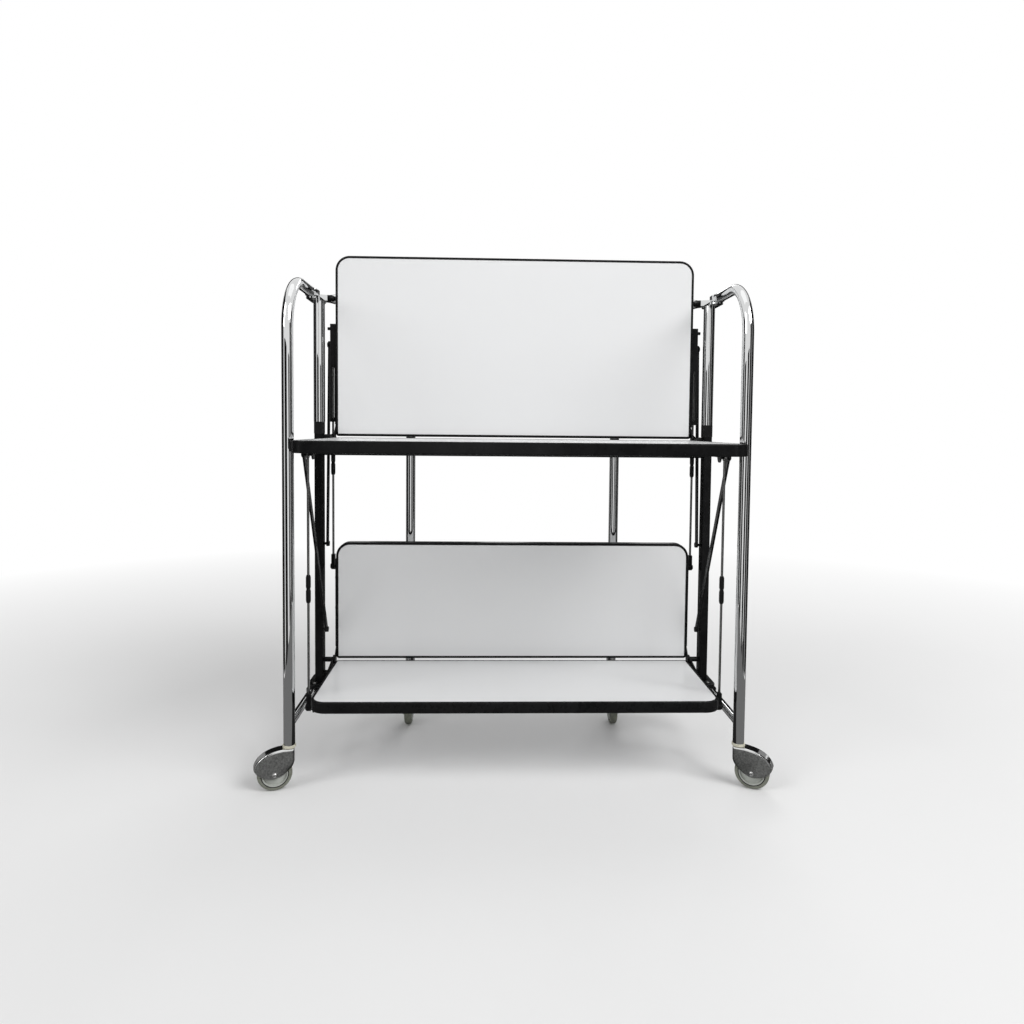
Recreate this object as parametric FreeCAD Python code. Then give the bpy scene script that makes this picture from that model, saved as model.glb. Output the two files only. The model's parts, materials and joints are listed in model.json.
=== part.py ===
import FreeCAD, Part
import math
import os

from FreeCAD import Vector

# ---------------------------------------------------------------------------
# Folding serving trolley.  Millimetres, X to the right, Y to the rear, Z up.
# The origin is on the floor under the middle of the whole trolley.  Until the
# last step every piece is placed from the hinge plane, Y = 0, which stands
# between the front and the rear leaves.
# ---------------------------------------------------------------------------

# Leaves: one front and one rear leaf on each of two levels.
LEAF_W = 580.0            # across the trolley
UPPER_D = 290.0           # hinge line to outer edge, upper leaves
LOWER_D = 193.0           # hinge line to outer edge, lower leaves
LEAF_T = 16.0             # over the edging
OUTER_CORNER_R = 23.0
INNER_CORNER_R = 5.0
EDGING_T = 2.5            # vinyl outside the board
EDGING_LIP = 4.0          # width of the lip seen on the face
LIP_T = 0.8               # thickness of the lip
LIP_PROUD = 0.3           # lip above the board's face
EDGING_ROUND = 2.0
UPPER_Z = 493.0           # top of the level upper leaf
LOWER_Z = 128.0           # top of the level lower leaf
AXIS_RISE = 1.0           # hinge axis above the leaf's face
LEAF_GAP = 1.0            # hinge axis to the leaf's inner edge

# Leaf brackets: folded sheet along each side edge.
SHEET = 2.0
BRACKET_IN = 24.0         # start of the flange, from the hinge axis
CHEEK_IN = 20.0           # start of the cheek, from the hinge axis
PAST_STUD = 7.5           # upper bracket beyond its stud
PAST_PIN = 15.0           # lower bracket beyond its link pin
FLANGE_DROP = 6.0         # hinge axis down to the flange
FLANGE_W = 9.5            # out from the leaf's side
FLANGE_SLOT_IN = 30.0     # long slot in an upper flange, from the hinge axis
FLANGE_SLOT_L = 82.0
FLANGE_SLOT_W = 3.8
LIP_DEPTH = 7.0           # turned-down outer lip of the flange
CHEEK_DEPTH = 17.0        # height of the cheek
LUG_R = 7.5               # lug of the cheek round the link pin
CHEEK_FULL = 30.0         # full-height part of the cheek, in from the link pin
DOUBLER_OUT = 62.0        # outer end of the front leaves' doubler
DOUBLER_T = 2.4
EAR_R = 7.0
EAR_GAP = 0.4             # side play between the two ears on one pin

# Link and strut pins on the brackets.
PIN_UNDER_GATE = 75.0     # gates' top tubes to the rear leaf's link pins
PIN_DROP = 23.0           # hinge axis to link pin, square to the leaf
LINK_PIN_D = 5.0
RIVET_HEAD_D = 8.5
RIVET_HEAD_T = 1.5
BORE_PLAY = 0.1           # radial play of a pin in its bore
SIDE_PLAY = 0.3           # play between flat faces that slide

# Link rods joining the upper and lower leaves.
ROD_D = 3.6
ROD_OUT = 8.4             # leaf's side to the rod's axis
ROD_EYE_D = 11.0
ROD_EYE_T = 3.6
SLEEVE_D = 7.0
SLEEVE_NECK_D = 5.4
SLEEVE_L = 40.0
SLEEVE_DOWN = 173.0       # upper link pin to the top of the sleeve
FORK_W = 8.5
FORK_T = 5.6
FORK_L = 20.0

# Struts and slide blocks.
STRUT_L = 325.0           # pin to pin
STRUT_GAP = 0.5           # between the two struts' lower ends when both are raised
STRUT_EYE_D = 12.0
STRUT_T = 3.0
STRUT_OUT = 12.5          # leaf's side to the strut's inner face
BLOCK_H = 22.0
JOURNAL_D = 4.4

# Centre posts.
POST_OUT = 25.5           # leaf's side to the post's middle
POST_W = 13.0
POST_HALF = 9.5           # half of the post's depth, front to rear
POST_WALL = 1.4
POST_MOUTH = 4.8          # width of each slot in the inner face
POST_BOTTOM = 96.0
POST_TOP = 499.0
FERRULE_TOP = 518.0
FERRULE_OVER = 0.5        # ferrule outside the post
SPIGOT_L = 14.0           # ferrule inside the tube
TUBE_D = 18.0
TUBE_WALL = 1.5
CROSS_TUBE_D = 12.0
CROSS_TUBE_DROP = 24.0    # hinge axis to cross tube
HINGE_PIN_D = 6.0
HINGE_SPACER_D = 8.0

# Gates: leg, quarter bend, top tube and lower bar, on two upright pins.
PIVOT_OUT = 30.0          # leaf's side to the gate pivots
PIVOT_Y = 20.5
GATE_L = 154.0            # pivot axis to leg axis
GATE_TOP = 719.0          # centre of the top tube
GATE_TUBE_D = 16.0
GATE_WALL = 1.2
GATE_BEND_R = 74.0
GATE_LOW_Z = 90.0
LOW_BAR_D = 12.0
LEG_BOTTOM = 62.0
EYE_R = 10.0
TOP_EYE_T = 9.0
TOP_FLAT_PAST = 0.5       # flat beyond the head plate's round end
DISH_D = 13.0             # pressed hollow round the upper pin
DISH_DEPTH = 2.4
LOW_EYE_T = 5.0
LOW_FLAT_L = 15.0
TAPER_L = 14.0            # flat end to round tube
GATE_PIN_D = 6.0
PIN_BORE_RUN = 20.0       # how far the cutter for a gate pin's bore runs
GATE_HEAD_D = 8.0
GATE_HEAD_T = 2.5
PLATE_T = 3.0
PLATE_W = 22.0
REAR_FOLD = 68.9          # degrees that the rear gates are folded in
FOOT_T = 2.5
FOOT_WEB = 9.0            # depth of the web between the two lower eyes

# Leaf catches on the legs.
CATCH_H = 15.0
CATCH_HALF = 10.0         # half depth of the saddle round the leg
CATCH_IN = 18.5           # leg axis to the inner face of the catch
CATCH_OUT = 4.0           # leg axis to the outer edge of the catch
STUD_D = 5.0
STUD_DROP = 10.0          # hinge axis to stud
STUD_IN_CATCH = 2.5

# Castors.
WHEEL_R = 24.0
WHEEL_W = 12.0
TYRE_T = 5.5
HUB_WEB = 5.0
TRAIL = 20.0
HOOD_W = 20.0
HOOD_ROUND = 3.0
# Hood outline in wheel radii: out from the stem, up from the floor.
HOOD_OVER_TOP = ((0.40, 2.44), (0.92, 2.36), (1.38, 2.19), (1.77, 1.90), (2.01, 1.44))
HOOD_UNDER = ((2.01, 1.44), (1.81, 1.10), (1.42, 0.84), (0.92, 0.74), (0.50, 0.84),
              (0.13, 1.10), (-0.14, 1.38), (-0.28, 1.75))
WHEEL_CLEAR = 2.0
AXLE_D = 5.0
AXLE_HEAD_D = 6.5
AXLE_HEAD_T = 2.0
STEM_D = 9.0
STEM_L = 30.0
SOCKET_FLANGE_D = 18.5
SOCKET_FLANGE_T = 3.0
# Direction in which each castor trails, degrees from +X.
CASTOR_TURN = {"front_left": 197.0, "front_right": -27.0,
               "rear_left": -90.0, "rear_right": -90.0}

HALF_W = LEAF_W / 2.0
ROD_X = HALF_W + ROD_OUT
STRUT_X = HALF_W + STRUT_OUT
POST_X = HALF_W + POST_OUT
PIVOT_X = HALF_W + PIVOT_OUT
UPPER_AXIS = UPPER_Z + AXIS_RISE
LOWER_AXIS = LOWER_Z + AXIS_RISE
UPPER_BRACKET_OUT = PIVOT_Y + GATE_L + PAST_STUD
PIN_REACH = GATE_TOP - UPPER_AXIS - PIN_UNDER_GATE
LOWER_BRACKET_OUT = PIN_REACH + PAST_PIN
POST_IN = POST_X - POST_W / 2.0
SLOT_Y = POST_HALF / 2.0
STRUT_W = POST_HALF - STRUT_GAP
TOP_FLAT_L = PLATE_W / 2.0 + TOP_FLAT_PAST
BLOCK_W = POST_HALF - 2.0 * (POST_WALL + SIDE_PLAY)
BLOCK_D = POST_W - 2.0 * (POST_WALL + SIDE_PLAY)
X_DIR = Vector(1, 0, 0)
Y_DIR = Vector(0, 1, 0)
Z_DIR = Vector(0, 0, 1)
ORIGIN = Vector(0, 0, 0)


# --- small helpers ---------------------------------------------------------

def box(x0, x1, y0, y1, z0, z1):
    """Block between two corners, given in any order."""
    low = Vector(min(x0, x1), min(y0, y1), min(z0, z1))
    return Part.makeBox(abs(x1 - x0), abs(y1 - y0), abs(z1 - z0), low)


def rod(start, end, diameter):
    """Round bar from one point to another."""
    line = end - start
    return Part.makeCylinder(diameter / 2.0, line.Length, start, line)


def tube(start, end, diameter, wall):
    """Round tube from one point to another."""
    return rod(start, end, diameter).cut(rod(start, end, diameter - 2 * wall))


def face_of(points):
    """Flat face through a closed loop of points."""
    return Part.Face(Part.makePolygon(points + [points[0]]))


def flip_x(shape):
    return shape.mirror(ORIGIN, X_DIR)


def flip_y(shape):
    return shape.mirror(ORIGIN, Y_DIR)


def moved(shape, x=0.0, y=0.0, z=0.0):
    copy = shape.copy()
    copy.translate(Vector(x, y, z))
    return copy


def turned(shape, centre, axis, degrees):
    copy = shape.copy()
    copy.rotate(centre, axis, degrees)
    return copy


def edges_where(shape, test):
    return [edge for edge in shape.Edges if test(edge)]


def group(*shapes):
    return Part.makeCompound(list(shapes))


# --- leaves, drawn level in front of a hinge axis that lies on the X axis ---

def leaf_outline(depth, inset, z):
    """Leaf outline with round outer corners, made smaller by inset."""
    half = HALF_W - inset
    y_in = -LEAF_GAP - inset
    y_out = -depth + inset
    big = max(OUTER_CORNER_R - inset, 0.5)
    small = max(INNER_CORNER_R - inset, 0.5)
    corners = [(half, y_in, small), (half, y_out, big),
               (-half, y_out, big), (-half, y_in, small)]
    edges = []
    ends = []
    for i, (x, y, r) in enumerate(corners):
        before = corners[i - 1]
        after = corners[(i + 1) % 4]
        point = Vector(x, y, z)
        back = Vector(before[0] - x, before[1] - y, 0).normalize()
        ahead = Vector(after[0] - x, after[1] - y, 0).normalize()
        start = point + back * r
        end = point + ahead * r
        centre = point + back * r + ahead * r
        middle = centre + (point - centre).normalize() * r
        edges.append(Part.Arc(start, middle, end).toShape())
        ends.append((start, end))
    for i in range(4):
        edges.append(Part.makeLine(ends[i][1], ends[(i + 1) % 4][0]))
    return Part.Face(Part.Wire(Part.__sortEdges__(edges)))


def leaf_prism(depth, inset, z0, z1):
    return leaf_outline(depth, inset, z0).extrude(Vector(0, 0, z1 - z0))


def leaf_board(depth):
    """Board with its rim stepped down to take the edging's lips."""
    top = -AXIS_RISE
    bottom = top - LEAF_T
    rim = leaf_prism(depth, EDGING_T, bottom + LIP_T, top - LIP_T)
    middle = leaf_prism(depth, EDGING_LIP, bottom + LIP_PROUD, top - LIP_PROUD)
    return rim.fuse(middle).removeSplitter()


def leaf_edging(depth):
    top = -AXIS_RISE
    bottom = top - LEAF_T
    outer = leaf_prism(depth, 0.0, bottom, top)
    rims = edges_where(outer, lambda e: abs(e.BoundBox.ZMax - e.BoundBox.ZMin) < 0.01)
    outer = outer.makeFillet(EDGING_ROUND, rims)
    opening = leaf_prism(depth, EDGING_LIP, bottom - 1, top + 1)
    return outer.cut(leaf_board(depth)).cut(opening)


def flange_slot(x):
    """Cutter for the long round-ended slot in a bracket's flange."""
    r = FLANGE_SLOT_W / 2.0
    y0 = -FLANGE_SLOT_IN - r
    y1 = -FLANGE_SLOT_IN - FLANGE_SLOT_L + r
    top = -FLANGE_DROP + 1.0
    low = -FLANGE_DROP - SHEET - 1.0
    slot = box(x - r, x + r, y0, y1, low, top)
    for y in (y0, y1):
        slot = slot.fuse(rod(Vector(x, y, low), Vector(x, y, top), 2 * r))
    return slot


def bracket(reach_out, is_front, is_upper):
    """Right-hand bracket: cheek and hinge ear, and when upper a flange, a lip and the stud."""
    x0 = HALF_W
    x1 = HALF_W + SHEET
    x2 = HALF_W + FLANGE_W
    z1 = -FLANGE_DROP
    z0 = z1 - CHEEK_DEPTH
    cheek = face_of([Vector(x0, -CHEEK_IN, z1), Vector(x0, -reach_out, z1),
                     Vector(x0, -reach_out, z1 - CHEEK_DEPTH * 0.55),
                     Vector(x0, -PIN_REACH, z0), Vector(x0, CHEEK_FULL - PIN_REACH, z0),
                     Vector(x0, -DOUBLER_OUT, z1 - CHEEK_DEPTH * 0.6),
                     Vector(x0, -CHEEK_IN, z1 - CHEEK_DEPTH * 0.5)])
    body = cheek.extrude(Vector(SHEET, 0, 0))
    body = body.fuse(rod(Vector(x0, -PIN_REACH, -PIN_DROP), Vector(x1, -PIN_REACH, -PIN_DROP),
                         2 * LUG_R))
    if is_upper:
        body = body.fuse(box(x0, x2, -BRACKET_IN, -reach_out, z1, z1 - SHEET))
        body = body.fuse(box(x2 - SHEET, x2, -BRACKET_IN, -reach_out, z1, z1 - LIP_DEPTH))
        body = body.cut(flange_slot((x1 + x2 - SHEET) / 2.0))
    ear_x = x1 if is_front else x0
    ear_t = DOUBLER_T if is_front else SHEET - EAR_GAP
    ear_end = DOUBLER_OUT if is_front else CHEEK_IN
    arm_low = z1 - CHEEK_DEPTH * 0.5
    arm = face_of([Vector(ear_x, -EAR_R * 0.6, EAR_R * 0.8), Vector(ear_x, -ear_end, z1 - SHEET),
                   Vector(ear_x, -ear_end, arm_low), Vector(ear_x, -CHEEK_IN, arm_low),
                   Vector(ear_x, -EAR_R * 0.6, -EAR_R * 0.8)])
    ear = rod(Vector(ear_x, 0, 0), Vector(ear_x + ear_t, 0, 0), 2 * EAR_R)
    ear = ear.fuse(arm.extrude(Vector(ear_t, 0, 0)))
    bore = rod(Vector(x0 - 1, 0, 0), Vector(x2, 0, 0), HINGE_PIN_D + 2 * BORE_PLAY)
    body = body.fuse(ear).cut(bore).removeSplitter()
    if is_upper:
        stud_y = -(PIVOT_Y + GATE_L)
        stud_z = -STUD_DROP
        stud = rod(Vector(x2, stud_y, stud_z),
                   Vector(PIVOT_X - CATCH_IN + STUD_IN_CATCH, stud_y, stud_z), STUD_D)
        return group(body, stud)
    return body


def link_pin(last_x):
    """Pin through the rod's eye, and the strut's on an upper leaf."""
    y = -PIN_REACH
    z = -PIN_DROP
    shank = rod(Vector(HALF_W + SHEET, y, z), Vector(last_x, y, z), LINK_PIN_D)
    head = rod(Vector(last_x, y, z), Vector(last_x + RIVET_HEAD_T, y, z), RIVET_HEAD_D)
    rim = edges_where(head, lambda e: abs(e.BoundBox.XMin - last_x - RIVET_HEAD_T) < 0.01
                      and abs(e.BoundBox.XMax - e.BoundBox.XMin) < 0.01)
    head = head.makeFillet(RIVET_HEAD_T * 0.7, rim)
    return shank.fuse(head).removeSplitter()


def leaf_brackets(reach_out, is_front, is_upper):
    one = bracket(reach_out, is_front, is_upper)
    if is_upper:
        pin = link_pin(STRUT_X + STRUT_T + SIDE_PLAY)
    else:
        pin = link_pin(ROD_X + FORK_T / 2.0 + SIDE_PLAY)
    solids = one.Solids + [pin]
    return group(*(solids + [flip_x(s) for s in solids]))


def place_leaf(shape, is_front, axis_z):
    """Front leaves lie level; rear leaves stand upright behind the hinge."""
    if is_front:
        return moved(shape, z=axis_z)
    return moved(turned(flip_y(shape), ORIGIN, X_DIR, 90.0), z=axis_z)


def pin_yz(is_front, axis_z):
    """Where a leaf's link pin is, in Y and Z."""
    if is_front:
        return -PIN_REACH, axis_z - PIN_DROP
    return PIN_DROP, axis_z + PIN_REACH


# --- link rods and struts ---------------------------------------------------

def link_rod(is_front):
    """Wire rod with an eye at its top; its foot stands in the fork."""
    y, z_top = pin_yz(is_front, UPPER_AXIS)
    z_low = pin_yz(is_front, LOWER_AXIS)[1]
    x0 = ROD_X - ROD_EYE_T / 2.0
    x1 = ROD_X + ROD_EYE_T / 2.0
    eye = rod(Vector(x0, y, z_top), Vector(x1, y, z_top), ROD_EYE_D)
    wire_top = z_top - (ROD_EYE_D + LINK_PIN_D) / 4.0
    wire = rod(Vector(ROD_X, y, z_low + FORK_L), Vector(ROD_X, y, wire_top), ROD_D)
    bore = rod(Vector(x0 - 1, y, z_top), Vector(x1 + 1, y, z_top), LINK_PIN_D + 2 * BORE_PLAY)
    return eye.fuse(wire).cut(bore).removeSplitter()


def link_fittings(is_front):
    """Two-part adjusting sleeve on the rod, and the fork at its foot."""
    y, z_top = pin_yz(is_front, UPPER_AXIS)
    z_low = pin_yz(is_front, LOWER_AXIS)[1]
    top = z_top - SLEEVE_DOWN
    half = SLEEVE_L / 2.0
    neck = 3.0
    points = [(0, top), (SLEEVE_NECK_D / 2, top), (SLEEVE_D / 2, top - neck),
              (SLEEVE_D / 2, top - half + neck), (SLEEVE_NECK_D / 2, top - half),
              (SLEEVE_D / 2, top - half - neck), (SLEEVE_D / 2, top - SLEEVE_L + neck),
              (SLEEVE_NECK_D / 2, top - SLEEVE_L), (0, top - SLEEVE_L)]
    profile = face_of([Vector(ROD_X + r, y, z) for r, z in points])
    sleeve = profile.revolve(Vector(ROD_X, y, 0), Z_DIR, 360)
    bore = rod(Vector(ROD_X, y, top - SLEEVE_L - 1), Vector(ROD_X, y, top + 1), ROD_D)
    sleeve = sleeve.cut(bore)
    x0 = ROD_X - FORK_T / 2.0
    x1 = ROD_X + FORK_T / 2.0
    fork = rod(Vector(x0, y, z_low), Vector(x1, y, z_low), ROD_EYE_D)
    fork = fork.fuse(box(x0, x1, y - FORK_W / 2, y + FORK_W / 2, z_low, z_low + FORK_L))
    pin_bore = rod(Vector(x0 - 1, y, z_low), Vector(x1 + 1, y, z_low),
                   LINK_PIN_D + 2 * BORE_PLAY)
    return group(sleeve, fork.cut(pin_bore).removeSplitter())


def strut_low_z(is_front):
    """Height of the strut's lower pivot, from its length."""
    y, z = pin_yz(is_front, UPPER_AXIS)
    run = abs(y) - SLOT_Y
    return z - math.sqrt(STRUT_L ** 2 - run ** 2)


def strut(is_front):
    """Flat bar with round ends, its upper eye on the link pin."""
    y, z = pin_yz(is_front, UPPER_AXIS)
    y_low = -SLOT_Y if is_front else SLOT_Y
    z_low = strut_low_z(is_front)
    x0 = STRUT_X
    x1 = STRUT_X + STRUT_T
    side = Vector(0, z - z_low, y_low - y).normalize() * (STRUT_W / 2.0)
    top = Vector(x0, y, z)
    low = Vector(x0, y_low, z_low)
    bar = face_of([top + side, low + side, low - side, top - side]).extrude(Vector(STRUT_T, 0, 0))
    bar = bar.fuse(rod(top, Vector(x1, y, z), STRUT_EYE_D))
    bar = bar.fuse(rod(low, Vector(x1, y_low, z_low), STRUT_W))
    bore = rod(Vector(x0 - 1, y, z), Vector(x1 + 1, y, z), LINK_PIN_D + 2 * BORE_PLAY)
    knob = rod(Vector(x0 - RIVET_HEAD_T, y_low, z_low), Vector(x0, y_low, z_low), RIVET_HEAD_D)
    return bar.cut(bore).fuse(knob).removeSplitter()


def slide_block(is_front):
    """Block in the post's slot, with a journal that meets the strut."""
    y = -SLOT_Y if is_front else SLOT_Y
    z = strut_low_z(is_front)
    x0 = POST_IN + POST_WALL + SIDE_PLAY
    block = box(x0, x0 + BLOCK_D, y - BLOCK_W / 2, y + BLOCK_W / 2,
                z - BLOCK_H / 2, z + BLOCK_H / 2)
    ends = edges_where(block, lambda e: abs(e.BoundBox.YMax - e.BoundBox.YMin) > BLOCK_W - 0.1)
    block = block.makeChamfer(1.5, ends)
    journal = rod(Vector(STRUT_X + STRUT_T + SIDE_PLAY, y, z), Vector(x0, y, z), JOURNAL_D)
    return block.fuse(journal).removeSplitter()


# --- posts ------------------------------------------------------------------

def post():
    """Two slotted channels back to back, slots in the inner face."""
    x0 = POST_IN
    x1 = POST_IN + POST_W
    body = box(x0, x1, -POST_HALF, POST_HALF, POST_BOTTOM, POST_TOP)
    corners = edges_where(body, lambda e: abs(e.BoundBox.ZMax - e.BoundBox.ZMin) > 10)
    body = body.makeFillet(POST_WALL * 0.9, corners)
    for sign in (-1, 1):
        near = sign * POST_WALL
        far = sign * (POST_HALF - POST_WALL)
        mid = sign * SLOT_Y
        body = body.cut(box(x0 + POST_WALL, x1 - POST_WALL, near, far,
                            POST_BOTTOM - 1, POST_TOP + 1))
        body = body.cut(box(x0 - 1, x0 + POST_WALL + 1, mid - POST_MOUTH / 2,
                            mid + POST_MOUTH / 2, POST_BOTTOM - 1, POST_TOP + 1))
    return body


def post_ferrule():
    """Moulding that closes the channel, with a spigot inside the chrome tube."""
    over = FERRULE_OVER
    cap = box(POST_IN - over, POST_IN + POST_W + over, -POST_HALF - over,
              POST_HALF + over, POST_TOP, FERRULE_TOP)
    corners = edges_where(cap, lambda e: abs(e.BoundBox.ZMax - e.BoundBox.ZMin) > 5)
    cap = cap.makeFillet(POST_WALL * 0.9 + over, corners)
    spigot_d = TUBE_D - 2 * (TUBE_WALL + BORE_PLAY)
    spigot = rod(Vector(POST_X, 0, FERRULE_TOP - 1),
                 Vector(POST_X, 0, FERRULE_TOP + SPIGOT_L), spigot_d)
    inside = box(POST_IN - over, POST_IN + POST_W + over, -POST_HALF, POST_HALF,
                 FERRULE_TOP - 1, FERRULE_TOP + SPIGOT_L)
    return cap.fuse(spigot.common(inside)).removeSplitter()


def post_tube():
    top = GATE_TOP - TOP_EYE_T / 2.0 - SIDE_PLAY - PLATE_T
    return tube(Vector(POST_X, 0, FERRULE_TOP), Vector(POST_X, 0, top), TUBE_D, TUBE_WALL)


def long_plate(centre_x, width, reach_y, z0, z1):
    """Plate with half-round ends over both gate pivots."""
    r = width / 2.0
    plate = box(centre_x - r, centre_x + r, -reach_y, reach_y, z0, z1)
    for sign in (-1, 1):
        y = sign * reach_y
        plate = plate.fuse(rod(Vector(centre_x, y, z0), Vector(centre_x, y, z1), width))
    return plate.removeSplitter()


def post_head():
    """Plate on the tube's top that carries the two upper gate pins."""
    top = GATE_TOP - TOP_EYE_T / 2.0 - SIDE_PLAY
    return long_plate(PIVOT_X, PLATE_W, PIVOT_Y, top - PLATE_T, top)


def post_foot():
    """Fork under the post: two plates and a web, open for the lower eyes."""
    half = LOW_EYE_T / 2.0 + SIDE_PLAY
    upper = long_plate(PIVOT_X, PLATE_W, PIVOT_Y, GATE_LOW_Z + half, POST_BOTTOM)
    lower = long_plate(PIVOT_X, PLATE_W, PIVOT_Y, GATE_LOW_Z - half - FOOT_T,
                       GATE_LOW_Z - half)
    web = box(PIVOT_X - PLATE_W / 2, PIVOT_X + PLATE_W / 2, -FOOT_WEB / 2, FOOT_WEB / 2,
              GATE_LOW_Z - half - FOOT_T, POST_BOTTOM)
    return upper.fuse(lower).fuse(web).removeSplitter()


def cut_pin_bores(shape, z0, z1):
    for sign in (-1, 1):
        y = sign * PIVOT_Y
        shape = shape.cut(rod(Vector(PIVOT_X, y, z0), Vector(PIVOT_X, y, z1), GATE_PIN_D))
    return shape


def gate_pin(sign, z_low, z_high):
    """Upright pin with a rounded head at each end."""
    y = sign * PIVOT_Y
    shank = rod(Vector(PIVOT_X, y, z_low), Vector(PIVOT_X, y, z_high), GATE_PIN_D)
    for z, step in ((z_high, GATE_HEAD_T), (z_low, -GATE_HEAD_T)):
        head = rod(Vector(PIVOT_X, y, z), Vector(PIVOT_X, y, z + step), GATE_HEAD_D)
        rim = edges_where(head, lambda e: abs(e.BoundBox.ZMin - z - step) < 0.01
                          and abs(e.BoundBox.ZMax - z - step) < 0.01)
        shank = shank.fuse(head.makeFillet(abs(step) * 0.6, rim))
    return shank.removeSplitter()


def gate_pins():
    plate_low = GATE_TOP - TOP_EYE_T / 2.0 - SIDE_PLAY - PLATE_T
    dish_floor = GATE_TOP + TOP_EYE_T / 2.0 - DISH_DEPTH
    foot_low = GATE_LOW_Z - LOW_EYE_T / 2.0 - SIDE_PLAY - FOOT_T
    pins = []
    for sign in (-1, 1):
        pins.append(gate_pin(sign, plate_low, dish_floor + SIDE_PLAY))
        pins.append(gate_pin(sign, foot_low, POST_BOTTOM))
    return pins


def hinge_pin(axis_z):
    """Journal through both leaf ears, with a spacer against the post."""
    shoulder = HALF_W + SHEET + DOUBLER_T + SIDE_PLAY
    journal = rod(Vector(HALF_W + SIDE_PLAY, 0, axis_z), Vector(shoulder, 0, axis_z), HINGE_PIN_D)
    spacer = rod(Vector(shoulder, 0, axis_z), Vector(POST_IN, 0, axis_z), HINGE_SPACER_D)
    return journal.fuse(spacer).removeSplitter()


def cross_tube(axis_z):
    z = axis_z - CROSS_TUBE_DROP
    return tube(Vector(-POST_IN, 0, z), Vector(POST_IN, 0, z), CROSS_TUBE_D, TUBE_WALL)


# --- gates, drawn open at the front right -----------------------------------

def flat_end(z, diameter, eye_t, flat_l):
    """Flattened tube end with an eye on the pivot, and its taper to the tube."""
    x = PIVOT_X
    y = -PIVOT_Y
    eye = rod(Vector(x, y, z - eye_t / 2), Vector(x, y, z + eye_t / 2), 2 * EYE_R)
    start = y - flat_l
    flat = box(x - EYE_R, x + EYE_R, y, start, z - eye_t / 2, z + eye_t / 2)
    corners = [Vector(x + sx * EYE_R, start, z + sz * eye_t / 2)
               for sx, sz in ((-1, -1), (1, -1), (1, 1), (-1, 1))]
    flat_wire = Part.makePolygon(corners + [corners[0]])
    end = start - TAPER_L
    circle = Part.Circle(Vector(x, end, z), Y_DIR, diameter / 2.0)
    quarter = math.pi / 2.0
    arcs = []
    for i in range(4):
        first = math.pi / 4.0 + i * quarter
        arcs.append(Part.Arc(circle, first, first + quarter).toShape())
    round_wire = Part.Wire(arcs)
    taper = Part.makeLoft([flat_wire, round_wire], True, True)
    bore = rod(Vector(x, y, z - eye_t), Vector(x, y, z + eye_t), GATE_PIN_D + 2 * BORE_PLAY)
    return eye.fuse(flat).fuse(taper).cut(bore), end


def bent_tube(y_start, diameter):
    """Leg, quarter bend and top tube up to the flattened end."""
    x = PIVOT_X
    y_leg = -(PIVOT_Y + GATE_L)
    r = GATE_BEND_R
    corner = GATE_TOP - r
    bend_mid = Vector(x, y_leg + r - r * math.cos(math.pi / 4),
                      corner + r * math.sin(math.pi / 4))
    leg = Part.makeLine(Vector(x, y_leg, LEG_BOTTOM), Vector(x, y_leg, corner))
    bend = Part.Arc(Vector(x, y_leg, corner), bend_mid,
                    Vector(x, y_leg + r, GATE_TOP)).toShape()
    top = Part.makeLine(Vector(x, y_leg + r, GATE_TOP), Vector(x, y_start, GATE_TOP))
    path = Part.Wire([leg, bend, top])
    section = Part.Wire(Part.makeCircle(diameter / 2.0, Vector(x, y_leg, LEG_BOTTOM), Z_DIR))
    return path.makePipeShell([section], True, True)


def gate_frame():
    """Bent tube and lower bar with both eyes, and the socket in the leg's foot."""
    top_end, y_top = flat_end(GATE_TOP, GATE_TUBE_D, TOP_EYE_T, TOP_FLAT_L)
    low_end, y_low = flat_end(GATE_LOW_Z, LOW_BAR_D, LOW_EYE_T, LOW_FLAT_L)
    eye_top = GATE_TOP + TOP_EYE_T / 2.0
    dish = rod(Vector(PIVOT_X, -PIVOT_Y, eye_top - DISH_DEPTH),
               Vector(PIVOT_X, -PIVOT_Y, eye_top + 1), DISH_D)
    top_end = top_end.cut(dish)
    outer = bent_tube(y_top, GATE_TUBE_D)
    inner = bent_tube(y_top, GATE_TUBE_D - 2 * GATE_WALL)
    y_leg = -(PIVOT_Y + GATE_L)
    bar = rod(Vector(PIVOT_X, y_leg, GATE_LOW_Z), Vector(PIVOT_X, y_low, GATE_LOW_Z), LOW_BAR_D)
    frame = outer.fuse(bar).cut(inner).fuse(top_end).fuse(low_end)
    return group(frame.removeSplitter(), castor_socket())


def castor_socket():
    """Bush in the leg's foot with a flange below it."""
    y = -(PIVOT_Y + GATE_L)
    low = LEG_BOTTOM - SOCKET_FLANGE_T
    bush_d = GATE_TUBE_D - 2 * GATE_WALL - 0.1
    bush = rod(Vector(PIVOT_X, y, LEG_BOTTOM), Vector(PIVOT_X, y, LEG_BOTTOM + STEM_L), bush_d)
    flange = rod(Vector(PIVOT_X, y, low), Vector(PIVOT_X, y, LEG_BOTTOM), SOCKET_FLANGE_D)
    bore = rod(Vector(PIVOT_X, y, low - 1), Vector(PIVOT_X, y, LEG_BOTTOM + STEM_L + 1),
               STEM_D + 2 * BORE_PLAY)
    return bush.fuse(flange).cut(bore).removeSplitter()


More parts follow.
